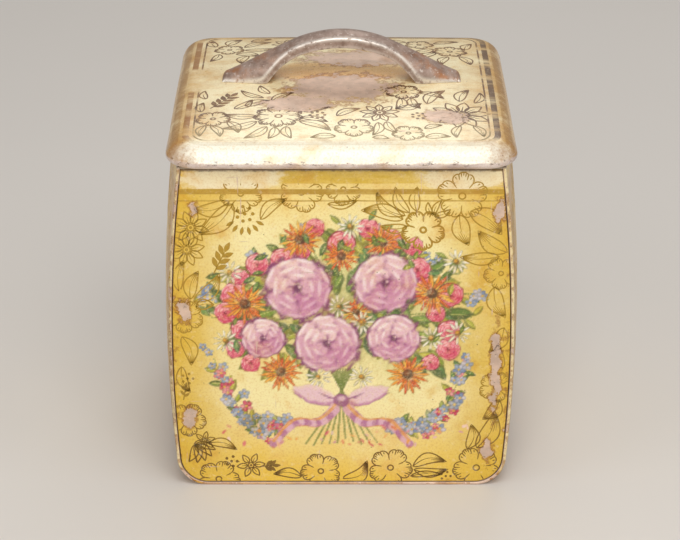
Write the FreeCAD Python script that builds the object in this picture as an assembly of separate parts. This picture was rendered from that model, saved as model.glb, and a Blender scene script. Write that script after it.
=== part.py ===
import FreeCAD, Part
import math
import os

# A square tinplate box with a hinged lid and a strap handle.
# Millimetres. +Z is up, the front faces -Y, and the origin is the middle of the base.

# Tinplate
tin_thickness = 0.4

# Body: bowed side walls and base in one band, closed by a front and a back panel
body_height = 121.0
body_depth = 111.0
belly_width = 118.7
belly_height = 51.0
side_bow_radius = 520.0
side_bulge = 3.9
base_corner_radius = 11.0

# Seams between the band and the panels
seam_bead_radius = 0.6
seam_bead_stand_out = 0.15
panel_seam_gap = 0.1
panel_bend_radius = 0.9
panel_flange_depth = 3.0

# Neck ring at the mouth
shoulder_width = 1.5
neck_height = 6.0
neck_corner_radius = 7.0

# Lid, with its rim rolled round a wire
lid_rest_gap = 0.3
lid_side_clearance = 2.4
lid_edge_rise = 5.3
lid_crown_rise = 3.9
lid_crown_past_sides = 21.0
lid_crown_past_front = 1.1
lid_shoulder_radius = 7.0
lid_top_corner_radius = 4.5
rim_stand_out = 0.12
rim_wire_radius = 1.3
rim_wire_clearance = 0.05

# Hinge tabs that curl round the rim wire at the back
hinge_tab_width = 14.0
hinge_tab_height = 11.0
hinge_tab_spacing = 56.0
hinge_clearance = 0.06
hinge_curl_degrees = 300.0
hinge_notch_clearance = 0.4

# Strap handle: a channel with a slightly crowned top, drooping to spread feet
handle_span = 84.0
handle_setback = 2.5
handle_rise = 16.8
handle_foot_rise = 0.9
handle_slope_power = 0.65
handle_toe_length = 2.0
handle_thickness = 0.6
handle_skirt = 3.6
grip_length = 26.0
grip_width = 10.6
grip_crown = 1.0
foot_spacing = 55.0
foot_width = 14.5
foot_crown = 7.2
toe_width = 7.0
toe_crown = 2.0
foot_flare_power = 2.4

# Tongues under the handle's feet, bent over inside the lid
tongue_spacing = 67.0
tongue_width = 7.0
tongue_length = 5.0
tongue_gap = 0.05
slot_clearance = 0.25

# Stations of the lofted forms, and how far a cutting solid runs past what it cuts
body_stations = 9
handle_stations = 9
overrun = 2.0

# Values that follow from the sizes above
half_depth = body_depth / 2
side_centre_x = belly_width / 2 - side_bow_radius
corner_drop = belly_height - base_corner_radius
bead_inset = seam_bead_radius - seam_bead_stand_out
bead_plane = half_depth - seam_bead_radius
panel_inset = bead_inset + seam_bead_radius + panel_seam_gap
shoulder_top = body_height + tin_thickness
roll_bore_radius = rim_wire_radius + rim_wire_clearance
roll_radius = roll_bore_radius + tin_thickness
curl_bore_radius = rim_wire_radius + hinge_clearance
curl_radius = curl_bore_radius + tin_thickness
rim_height = shoulder_top + lid_rest_gap + roll_radius
rim_half_depth = half_depth + curl_radius
lid_wall_reach = roll_radius - rim_stand_out
lid_wall_corner_radius = lid_top_corner_radius + lid_shoulder_radius
rim_corner_radius = lid_wall_corner_radius - lid_wall_reach
lid_edge_height = rim_height + lid_edge_rise
crown_height = lid_edge_height + lid_crown_rise

Vector = FreeCAD.Vector


def bulge_at(y):
    """How far the side walls stand out at depth y, beyond their front and back edges."""
    plan_radius = (half_depth**2 + side_bulge**2) / (2 * side_bulge)
    return math.sqrt(plan_radius**2 - y**2) - (plan_radius - side_bulge)


def mouth_half_width(y):
    """Half the body's width at its top edge, at depth y."""
    radius = side_bow_radius + bulge_at(y)
    return side_centre_x + math.sqrt(radius**2 - (body_height - belly_height) ** 2)


neck_half_width = mouth_half_width(half_depth) - shoulder_width
neck_half_depth = half_depth - shoulder_width
rim_half_width = neck_half_width + lid_side_clearance + roll_radius
crown_half_width = rim_half_width + lid_wall_reach + lid_crown_past_sides
crown_half_depth = rim_half_depth + lid_wall_reach + lid_crown_past_front


def arc_across(centre_x, centre_z, radius, start, end, y):
    """Arc in the plane at depth y, between two angles measured from +X towards +Z."""
    points = []
    for angle in (start, (start + end) / 2, end):
        x = centre_x + radius * math.cos(angle)
        z = centre_z + radius * math.sin(angle)
        points.append(Vector(x, y, z))
    return Part.Arc(*points).toShape()


def base_half_width(y):
    """Half the width of the flat base at depth y, out to where its rounded corners begin."""
    corner_reach = side_bow_radius + bulge_at(y) - base_corner_radius
    return side_centre_x + math.sqrt(corner_reach**2 - corner_drop**2)


def wall_line(y, inset, top):
    """Edges from the left wall's top, round the base, to the right wall's top, moved in by inset."""
    side_radius = side_bow_radius + bulge_at(y) - inset
    corner_radius = base_corner_radius - inset
    corner_x = base_half_width(y)
    foot = -math.atan(corner_drop / (corner_x - side_centre_x))
    head = math.asin((top - belly_height) / side_radius)
    return [
        arc_across(-side_centre_x, belly_height, side_radius, math.pi - head, math.pi - foot, y),
        arc_across(-corner_x, base_corner_radius, corner_radius, math.pi - foot, 1.5 * math.pi, y),
        Part.makeLine(Vector(-corner_x, y, inset), Vector(corner_x, y, inset)),
        arc_across(corner_x, base_corner_radius, corner_radius, -0.5 * math.pi, foot, y),
        arc_across(side_centre_x, belly_height, side_radius, foot, head, y),
    ]


def wall_outline(y, inset, top):
    """Closed outline of the body at depth y, moved in by inset, cut level at the given top."""
    edges = wall_line(y, inset, top)
    first = edges[0].valueAt(edges[0].FirstParameter)
    last = edges[-1].valueAt(edges[-1].LastParameter)
    return Part.Wire(edges + [Part.makeLine(last, first)])


def body_form(inset, top):
    """Solid of the body's outside, moved in by inset and running past both ends."""
    reach = half_depth + overrun
    outlines = []
    for station in range(body_stations):
        y = reach * (2 * station / (body_stations - 1) - 1)
        outlines.append(wall_outline(y, inset, top))
    return Part.makeLoft(outlines, True, False)


def block(low, high):
    """Box between two corners."""
    size = Vector(*high) - Vector(*low)
    return Part.makeBox(size.x, size.y, size.z, Vector(*low))


def tube_along(path, radius):
    """Round bar of the given radius along a path of tangent lines and arcs."""
    start = path.OrderedEdges[0]
    point = start.valueAt(start.FirstParameter)
    ring = Part.makeCircle(radius, point, start.tangentAt(start.FirstParameter))
    return path.makePipeShell([Part.Wire([ring])], True, False)


def rounded_rectangle(half_x, half_y, radius, z):
    """Level outline with rounded corners, centred on the Z axis."""
    edges = []
    for corner, (sign_x, sign_y) in enumerate(((1, -1), (1, 1), (-1, 1), (-1, -1))):
        centre_x = sign_x * (half_x - radius)
        centre_y = sign_y * (half_y - radius)
        points = []
        for step in (-1.0, -0.5, 0.0):
            angle = (corner + step) * math.pi / 2
            points.append(Vector(centre_x + radius * math.cos(angle), centre_y + radius * math.sin(angle), z))
        if edges:
            edges.append(Part.makeLine(edges[-1].valueAt(edges[-1].LastParameter), points[0]))
        edges.append(Part.Arc(*points).toShape())
    start = edges[0].valueAt(edges[0].FirstParameter)
    edges.append(Part.makeLine(edges[-1].valueAt(edges[-1].LastParameter), start))
    return Part.Wire(edges)


def slab(wire, direction):
    """Solid drawn out of a flat closed outline."""
    return Part.Face(wire).extrude(direction)


def side_and_base_band():
    """Left wall, flat base and right wall in one strip, with its front and back edges rolled to beads."""
    reach = belly_width
    between = block((-reach, -bead_plane, 0), (reach, bead_plane, body_height))
    band = body_form(0, body_height).cut(body_form(tin_thickness, body_height + overrun)).common(between)
    flat = base_half_width(bead_plane) - overrun
    band = band.cut(block((-flat, -body_depth, -overrun), (flat, body_depth, tin_thickness + overrun)))
    band = band.fuse(block((-flat, -bead_plane, 0), (flat, bead_plane, tin_thickness)))
    upright = block((-reach, -body_depth, 0), (reach, body_depth, body_height))
    for y in (-bead_plane, bead_plane):
        path = Part.Wire(wall_line(y, bead_inset, body_height + overrun))
        band = band.fuse(tube_along(path, seam_bead_radius).common(upright))
    return band


def panel_form(inset, y, top, bend_radius):
    """Solid behind a panel's face at depth y, with the edges of the face rounded."""
    outline = wall_outline(-bead_plane, inset, top)
    outline.translate(Vector(0, y + bead_plane, 0))
    form = slab(outline, Vector(0, panel_flange_depth, 0))
    front = [edge for edge in form.Edges if edge.BoundBox.YMax < y + panel_flange_depth / 2]
    return form.makeFillet(bend_radius, front)


def front_panel():
    """Flat panel with a flange turned back all round, seated inside the band's bead."""
    inner_inset = panel_inset + tin_thickness
    inner_bend = panel_bend_radius - tin_thickness
    outside = panel_form(panel_inset, -half_depth, body_height, panel_bend_radius)
    inside = panel_form(inner_inset, tin_thickness - half_depth, body_height - tin_thickness, inner_bend)
    return outside.cut(inside)


def back_panel():
    """The front panel's twin at the back."""
    return front_panel().mirror(Vector(0, 0, 0), Vector(0, 1, 0))


def neck_ring():
    """Flat shoulder over the top edges of the walls, with an upright collar round the mouth."""
    corner = mouth_half_width(half_depth)
    middle = mouth_half_width(0)
    z = body_height
    right = Part.Arc(Vector(corner, -half_depth, z), Vector(middle, 0, z), Vector(corner, half_depth, z)).toShape()
    left = Part.Arc(Vector(-corner, half_depth, z), Vector(-middle, 0, z), Vector(-corner, -half_depth, z)).toShape()
    back = Part.makeLine(Vector(corner, half_depth, z), Vector(-corner, half_depth, z))
    front = Part.makeLine(Vector(-corner, -half_depth, z), Vector(corner, -half_depth, z))
    shoulder = slab(Part.Wire([right, back, left, front]), Vector(0, 0, tin_thickness))
    outer = rounded_rectangle(neck_half_width, neck_half_depth, neck_corner_radius, z)
    inner = rounded_rectangle(
        neck_half_width - tin_thickness,
        neck_half_depth - tin_thickness,
        neck_corner_radius - tin_thickness,
        z - overrun,
    )
    collar = slab(outer, Vector(0, 0, tin_thickness + neck_height))
    hole = slab(inner, Vector(0, 0, tin_thickness + neck_height + 2 * overrun))
    return shoulder.fuse(collar).cut(hole)


def hinge_tab(side):
    """Strip soldered to the back panel, with its upper end curled round the rim wire."""
    y = rim_half_depth
    z = rim_height
    foot = body_height - hinge_tab_height
    x = side * hinge_tab_spacing / 2 - hinge_tab_width / 2

    def around(radius, degrees):
        angle = math.radians(degrees)
        return Vector(x, y + radius * math.cos(angle), z + radius * math.sin(angle))

    end = 180 - hinge_curl_degrees
    middle = 180 - hinge_curl_degrees / 2
    outside = Part.Arc(around(curl_radius, 180), around(curl_radius, middle), around(curl_radius, end)).toShape()
    inside = Part.Arc(
        around(curl_bore_radius, end), around(curl_bore_radius, middle), around(curl_bore_radius, 180)
    ).toShape()
    profile = Part.Wire(
        [
            Part.makeLine(Vector(x, half_depth, foot), around(curl_radius, 180)),
            outside,
            Part.makeLine(around(curl_radius, end), around(curl_bore_radius, end)),
            inside,
            Part.makeLine(around(curl_bore_radius, 180), Vector(x, half_depth + tin_thickness, foot)),
            Part.makeLine(Vector(x, half_depth + tin_thickness, foot), Vector(x, half_depth, foot)),
        ]
    )
    return slab(profile, Vector(hinge_tab_width, 0, 0))


def crown_height_at(x, y):
    """Height of the lid's outer face, which is raised in the middle and level towards its edges."""
    along = 1 - (x / crown_half_width) ** 2
    across = 1 - (y / crown_half_depth) ** 2
    return lid_edge_height + lid_crown_rise * along * across


def crown_form(inset, base):
    """Solid under the lid's crowned top, lowered by inset, down to the given base."""
    surface = Part.BezierSurface()
    surface.increase(2, 2)
    edge = lid_edge_height - inset
    for row, x in enumerate((-crown_half_width, 0, crown_half_width), 1):
        for column, y in enumerate((-crown_half_depth, 0, crown_half_depth), 1):
            middle = row == 2 and column == 2
            surface.setPole(row, column, Vector(x, y, edge + 4 * lid_crown_rise if middle else edge))
    return surface.toShape().extrude(Vector(0, 0, base - crown_height))


def lid_form(inset):
    """Solid of the lid's outside above the rim, moved in by inset: a crowned top with a rounded shoulder."""
    base = rim_height - lid_shoulder_radius
    half_x = rim_half_width + lid_wall_reach - inset
    half_y = rim_half_depth + lid_wall_reach - inset
    outline = rounded_rectangle(half_x, half_y, lid_wall_corner_radius - inset, base)
    post = slab(outline, Vector(0, 0, crown_height + overrun - base))
    form = post.common(crown_form(inset, base - lid_crown_rise))
    top = [edge for edge in form.Edges if edge.BoundBox.ZMin > base + overrun and not is_upright(edge)]
    return form.makeFillet(lid_shoulder_radius - inset, top)


def is_upright(edge):
    """Whether an edge runs straight up."""
    box = edge.BoundBox
    return box.XLength + box.YLength < tin_thickness


def rim_path():
    """Line of the rim wire round the lid."""
    return rounded_rectangle(rim_half_width, rim_half_depth, rim_corner_radius, rim_height)


def lid_shell():
    """Pressed lid with its rim rolled inwards, notched at the back for the hinge and slotted for the handle."""
    reach = belly_width
    below = block((-reach, -reach, 0), (reach, reach, rim_height))
    shell = lid_form(0).cut(lid_form(tin_thickness)).cut(below)
    roll = tube_along(rim_path(), roll_radius)
    bore = tube_along(rim_path(), roll_bore_radius)
    lid = shell.fuse(roll).cut(bore)
    notch_width = hinge_tab_width + 2 * hinge_notch_clearance
    for side in (-1, 1):
        start = Vector(side * hinge_tab_spacing / 2 - notch_width / 2, rim_half_depth, rim_height)
        lid = lid.cut(Part.makeCylinder(curl_radius + hinge_notch_clearance, notch_width, start, Vector(1, 0, 0)))
        low, high = tongue_corners(side, slot_clearance)
        lid = lid.cut(block(low, high))
    return lid


def lid_rim_wire():
    """Closed ring of round wire inside the rolled rim, which is also the hinge's pin."""
    return tube_along(rim_path(), rim_wire_radius)


def ridge_height(x):
    """Height of the handle's middle line."""
    share = (1 + math.cos(math.pi * x / (handle_span / 2 + handle_toe_length))) / 2
    return crown_height + handle_foot_rise + (handle_rise - handle_foot_rise) * share**handle_slope_power


def along_strap(x, at_grip, at_foot, at_toe):
    """Size that is even along the grip, flares to the foot and tapers to the toe."""
    foot = foot_spacing / 2
    if abs(x) > foot:
        share = (abs(x) - foot) / (handle_span / 2 - foot)
        return at_foot + (at_toe - at_foot) * share
    share = max(0, (abs(x) - grip_length / 2) / (foot - grip_length / 2))
    return at_grip + (at_foot - at_grip) * share**foot_flare_power


def strap_section(x, inset, drop):
    """Closed outline across the handle, moved in by inset, with its flat underside lowered by drop."""
    half = along_strap(x, grip_width, foot_width, toe_width) / 2 - inset
    ridge = ridge_height(x)
    brow = ridge - along_strap(x, grip_crown, foot_crown, toe_crown) - inset
    hem = brow + inset - handle_skirt - drop
    front = handle_setback - half
    back = handle_setback + half
    over = Part.Arc(Vector(x, front, brow), Vector(x, handle_setback, ridge - inset), Vector(x, back, brow))
    return Part.Wire(
        [
            Part.makeLine(Vector(x, front, hem), Vector(x, front, brow)),
            over.toShape(),
            Part.makeLine(Vector(x, back, brow), Vector(x, back, hem)),
            Part.makeLine(Vector(x, back, hem), Vector(x, front, hem)),
        ]
    )


def handle_form(inset, drop):
    """Solid under the handle's outer face: a foot, the grip and the other foot, each a smooth run."""
    foot = foot_spacing / 2
    toe = handle_span / 2 - inset
    runs = []
    for start, end in ((-toe, -foot), (-foot, foot), (foot, toe)):
        sections = []
        for station in range(handle_stations):
            x = start + (end - start) * station / (handle_stations - 1)
            sections.append(strap_section(x, inset, drop))
        runs.append(Part.makeLoft(sections, True, False))
    return runs[0].fuse(runs[1]).fuse(runs[2])


def tongue_corners(side, clearance):
    """Corners of a handle tongue where it passes through the lid, grown by a clearance."""
    near = tongue_spacing / 2
    far = near + handle_thickness
    low_x, high_x = (near, far) if side > 0 else (-far, -near)
    front = handle_setback - tongue_width / 2 - clearance
    back = handle_setback + tongue_width / 2 + clearance
    return (low_x - clearance, front, rim_height), (high_x + clearance, back, crown_height + handle_rise)


def handle_strap():
    """Channel-shaped strap seated on the lid, with a tongue under each foot bent outwards inside the lid."""
    outside = handle_form(0, 0)
    strap = outside.cut(handle_form(handle_thickness, overrun)).cut(lid_form(0))
    tip = tongue_spacing / 2 + handle_thickness + tongue_length
    ceiling = crown_height_at(tip, handle_setback + tongue_width / 2) - tin_thickness
    top = ceiling - tongue_gap
    bottom = top - handle_thickness
    for side in (-1, 1):
        low, high = tongue_corners(side, 0)
        stem = block((low[0], low[1], bottom), high).common(outside)
        outer_end = high[0] + tongue_length if side > 0 else low[0] - tongue_length
        inner_end = low[0] if side > 0 else high[0]
        hook = block((min(inner_end, outer_end), low[1], bottom), (max(inner_end, outer_end), high[1], top))
        strap = strap.fuse(stem).fuse(hook)
    return strap


pieces = {
    "side_and_base_band": side_and_base_band(),
    "front_panel": front_panel(),
    "back_panel": back_panel(),
    "neck_ring": neck_ring(),
    "hinge_tab_left": hinge_tab(-1),
    "hinge_tab_right": hinge_tab(1),
    "lid_shell": lid_shell(),
    "lid_rim_wire": lid_rim_wire(),
    "handle_strap": handle_strap(),
}

os.makedirs("parts", exist_ok=True)
for name, shape in pieces.items():
    shape = shape.removeSplitter()
    shape.exportStep(f"parts/{name}.step")
    print(name, len(shape.Solids), "valid" if shape.isValid() else "not valid", round(shape.Volume, 1))
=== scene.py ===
import math

import bpy
import numpy as np
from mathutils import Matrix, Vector
from mathutils.bvhtree import BVHTree


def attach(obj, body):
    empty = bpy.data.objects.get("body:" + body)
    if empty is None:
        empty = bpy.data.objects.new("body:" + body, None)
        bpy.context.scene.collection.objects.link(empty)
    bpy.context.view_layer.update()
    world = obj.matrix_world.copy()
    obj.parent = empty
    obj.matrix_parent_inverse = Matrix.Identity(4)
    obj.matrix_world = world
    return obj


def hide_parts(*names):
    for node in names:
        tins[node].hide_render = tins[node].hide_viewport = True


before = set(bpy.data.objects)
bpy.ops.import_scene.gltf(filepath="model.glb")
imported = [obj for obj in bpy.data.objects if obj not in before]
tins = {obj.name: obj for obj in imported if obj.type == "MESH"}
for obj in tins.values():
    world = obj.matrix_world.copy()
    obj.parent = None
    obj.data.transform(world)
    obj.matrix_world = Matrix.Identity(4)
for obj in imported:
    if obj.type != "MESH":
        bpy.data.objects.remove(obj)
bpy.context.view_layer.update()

# Side and base band: one strip of printed tinplate bent up into the left wall, the base and the right wall.
# Its front and back edges are rolled to thin beads. The print is a varnished lithograph, rubbed off along the
# beads and left off the inside and the underside.
mm = 0.001
wide_band, narrow_band, thin_band = (115.6, 121.5), (111.7, 113.6), (109.1, 109.6)
bead_edge = (53.9, 54.6)


def tone(red, green, blue, light=1.0):
    """A colour of the 0 to 255 scale as a shader's linear values, lightened or darkened by light."""
    shares = [value / 255 for value in (red, green, blue)]
    linear = [v / 12.92 if v <= 0.04045 else ((v + 0.055) / 1.055) ** 2.4 for v in shares]
    return (*[light * v for v in linear], 1.0)


class Wire:
    """One socket of a finish. Arithmetic on it adds Math nodes, and node() adds any other."""

    def __init__(self, socket):
        self.socket = socket

    def node(self, kind, settings, inputs, output=0):
        tree = self.socket.id_data
        made = tree.nodes.new("ShaderNode" + kind)
        for name, value in settings.items():
            setattr(made, name, value)
        for key, value in inputs.items():
            if isinstance(value, Wire):
                tree.links.new(value.socket, made.inputs[key])
            else:
                made.inputs[key].default_value = value
        return Wire(made.outputs[output])

    def math(self, operation, first, second=0.0):
        return self.node("Math", {"operation": operation}, {0: first, 1: second})

    def __add__(self, other):
        return self.math("ADD", self, other)

    def __sub__(self, other):
        return self.math("SUBTRACT", self, other)

    def __rsub__(self, other):
        return self.math("SUBTRACT", other, self)

    def __mul__(self, other):
        return self.math("MULTIPLY", self, other)

    def __truediv__(self, other):
        return self.math("DIVIDE", self, other)

    def __abs__(self):
        return self.math("ABSOLUTE", self)

    __radd__ = __add__
    __rmul__ = __mul__

    def most(self, other):
        return self.math("MAXIMUM", self, other)

    def over(self, low, high):
        """0 up to low and 1 from high, with a smooth run between; low above high turns it round."""
        return self.node("MapRange", {"interpolation_type": "SMOOTHSTEP"}, {0: self, 1: low, 2: high})

    def between(self, low, high, blur):
        """1 from low to high and 0 outside, with edges of the given blur."""
        return self.over(low - blur, low + blur) * self.over(high + blur, high - blur)

    def mix(self, under, above, how="MIX"):
        """The colour above laid over the colour under by this share."""
        settings = {"data_type": "RGBA", "blend_type": how}
        return self.node("Mix", settings, {0: self, 6: under, 7: above}, 2)

    def vector(self, operation, second=(0, 0, 0), output=0):
        return self.node("VectorMath", {"operation": operation}, {0: self, 1: second}, output)

    def axis(self, index):
        """How far along one axis this place is, in millimetres."""
        return self.node("SeparateXYZ", {}, {0: self}, index) / mm

    def noise(self, size, detail=3.0, rough=0.55, stretch=(1, 1, 1)):
        """Cloudy values round 0.5 at this place, size in millimetres, drawn out where stretch is under 1."""
        drawn = self.vector("MULTIPLY", stretch)
        inputs = {"Vector": drawn, "Scale": 1 / (size * mm), "Detail": detail, "Roughness": rough}
        return self.node("TexNoise", {}, inputs)

    def near(self, centre, reach):
        """1 at a centre and 0 at reach from it along each axis, in millimetres, below 0 beyond."""
        from_centre = self.vector("SUBTRACT", [value * mm for value in centre])
        shares = from_centre.vector("DIVIDE", [value * mm for value in reach])
        return 1 - shares.vector("LENGTH", output=1)

    def among(self, patches):
        """The greatest near() of several patches, each a centre and a reach."""
        found = self.near(*patches[0])
        for patch in patches[1:]:
            found = found.most(self.near(*patch))
        return found


def new_finish(name):
    """A fresh material with its shader, its place in the piece's own metres and its face direction."""
    material = bpy.data.materials.new(name)
    material.use_nodes = True
    nodes = material.node_tree.nodes
    where = nodes.new("ShaderNodeTexCoord")
    return material, nodes["Principled BSDF"], Wire(where.outputs["Object"]), Wire(where.outputs["Normal"])


def feed(shader, **sockets):
    """Sets a shader's sockets, named with _ for a space, to values or wires."""
    for name, value in sockets.items():
        socket = shader.inputs[name.replace("_", " ")]
        if isinstance(value, Wire):
            socket.id_data.links.new(value.socket, socket)
        else:
            socket.default_value = value


def tin_colour(place, red, green, blue):
    """Dull old tinplate: cloudy grey with warm stains, pale rubbed spots and fine dark pits."""
    cloud = place.noise(7, 6, 0.6).over(0.3, 0.7)
    colour = cloud.mix(tone(red, green, blue, 0.8), tone(red, green, blue, 1.1))
    stain = place.noise(13, 5, 0.65, (1.3, 0.8, 1)).over(0.55, 0.75) * 0.45
    colour = stain.mix(colour, tone(168, 118, 66))
    rubbed = place.noise(1.6, 4, 0.7).over(0.6, 0.72) * 0.45
    colour = rubbed.mix(colour, tone(232, 222, 214))
    pits = place.noise(0.9, 3, 0.65).over(0.37, 0.28) * 0.6
    return pits.mix(colour, tone(74, 54, 44))


def printed_tin(name, shade, worn, heart=None, gloss=0.3):
    """Varnished print on tin. shade gives its colour and worn, above 0, where it is rubbed off.
    Faces turned towards heart, a point inside the piece in metres, are plain tin."""
    material, shader, place, facing = new_finish(name)
    colour = shade(place)
    amber = place.noise(10, 5, 0.6).over(0.5, 0.74) * 0.55
    colour = amber.mix(colour, tone(240, 209, 146), "MULTIPLY")
    grain = place.noise(0.75, 3, 0.6)
    colour = (grain.over(0.45, 0.7) * 0.4).mix(colour, tone(226, 200, 158), "MULTIPLY")
    dulled = place.noise(2.4, 5, 0.72).over(0.54, 0.7) * 0.28
    colour = dulled.mix(colour, tone(246, 232, 200))
    spots = place.node("TexVoronoi", {}, {"Vector": place, "Scale": 1 / (2.4 * mm)})
    specks = spots.over(0.12, 0.06) * place.noise(7, 2).over(0.52, 0.62)
    colour = (specks * 0.75).mix(colour, tone(108, 72, 38))
    ragged = worn(place) + (place.noise(4, 6, 0.68) - 0.5) * 1.5
    scratch = place.noise(0.9, 2, 0.5, (1, 1, 0.06)).over(0.7, 0.73)
    scratch = scratch.most(place.noise(1.0, 2, 0.5, (0.05, 0.07, 1)).over(0.7, 0.73))
    scratch = scratch * place.noise(13, 3).over(0.5, 0.6)
    bare = ragged.over(0.0, 0.07).most(scratch * 0.7)
    rusty = ragged.over(-0.2, 0.0) * (1 - bare)
    colour = (rusty * 0.75).mix(colour, tone(172, 124, 70), "MULTIPLY")
    if heart:
        away = place.vector("SUBTRACT", heart).vector("DOT_PRODUCT", facing, 1)
        bare = bare.most(away.math("LESS_THAN", away, 0.0))
    colour = bare.mix(colour, tin_colour(place, 222, 194, 174))
    height = grain * 0.25 + (1 - bare) * 0.8
    bump = place.node("Bump", {}, {"Strength": 0.4, "Distance": 0.06 * mm, "Height": height})
    feed(
        shader,
        Base_Color=colour,
        Metallic=bare * 0.35,
        Roughness=gloss + grain * 0.14 + bare * 0.14,
        Coat_Weight=(1 - bare) * 0.35,
        Coat_Roughness=0.18,
        Normal=bump,
    )
    return material


def gold_bands(place, colour):
    """Gold printed round the top of the walls: a wide band, a narrower one and a thin line, with a painted
    shadow and some grime just below the lid's rim.
    """
    up = place.axis(2) + (place.noise(9, 2) - 0.5) * 0.3
    streaks = place.noise(5, 5, 0.7, (0.35, 0.35, 1.6)).over(0.36, 0.6)
    ragged = (place.noise(7, 5, 0.7, (0.5, 0.5, 1)) - 0.5) * 1.2
    patches = [((-37, -55.5, 118), (24, 8, 6)), ((41, -55.5, 118), (19, 8, 6))]
    rubbed = (place.among(patches) + ragged).over(0.1, 0.4)
    ground = up.between(narrow_band[1], wide_band[1], 0.1) * (rubbed * 0.75 + 0.1)
    colour = ground.mix(colour, tone(250, 238, 204))
    wide = up.between(*wide_band, 0.12) * (streaks * 0.4 + 0.55) * (1 - rubbed * 0.9)
    narrow = up.between(*narrow_band, 0.1) * (streaks * 0.25 + 0.72)
    thin = up.between(*thin_band, 0.08) * (streaks * 0.3 + 0.6)
    colour = wide.mix(colour, tone(224, 186, 58))
    colour = narrow.most(thin).mix(colour, tone(186, 146, 38))
    # Painted shadow under the lid's rim: a thin dark brown line at the top of the walls, partly grime.
    rim_shadow_and_grime = (up + (place.noise(2, 4, 0.7) - 0.5) * 1.2).over(119.7, 120.5) * 0.85
    return rim_shadow_and_grime.mix(colour, tone(96, 68, 36))


def side_shade(place):
    along = abs(place.axis(1)) / 55
    up = abs(place.axis(2) - 60) / 60
    rim = along.most(up) + (place.noise(16, 4) - 0.5) * 0.5
    colour = gold_bands(place, rim.over(0.3, 1.0).mix(tone(240, 212, 128), tone(196, 142, 38)))
    bead = abs(place.axis(1)).over(*bead_edge)
    foot = place.axis(2).over(9, 3)
    return bead.mix(colour, foot.mix(tone(238, 220, 170), tone(206, 156, 62)))


def side_worn(place):
    bead = abs(place.axis(1)).over(*bead_edge) * 0.62
    under = place.axis(2).over(0.7, 0.3) * 2
    scuffs = place.noise(22, 3).over(0.55, 0.75) * 0.5
    return bead.most(under) + scuffs - 0.75


def recoat(node, finish):
    """Gives a tin of the solid model this finish."""
    tins[node].data.materials.clear()
    tins[node].data.materials.append(finish)


band_heart = (0, 0, 60 * mm)
recoat("side_and_base_band", printed_tin("printed_sides", side_shade, side_worn, band_heart))

# Front and back panels: flat printed tin, each with a flange turned back all round and seated inside the
# bead. A posy of garden flowers is printed in soft colours on a cream ground, inside a border of gold line
# ornament.
side_centre, side_radius, belly = -460.65, 520.084, 51.0
corner_x, corner_z, corner_radius = 46.86, 11.0, 11.0
face_inset, bend_radius, flange_depth, sheet = 2.05, 0.9, 3.0, 0.4
face_y, face_top, waviness = 55.5, 120.1, 0.06
face_rows, face_columns = 261, 261


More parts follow.
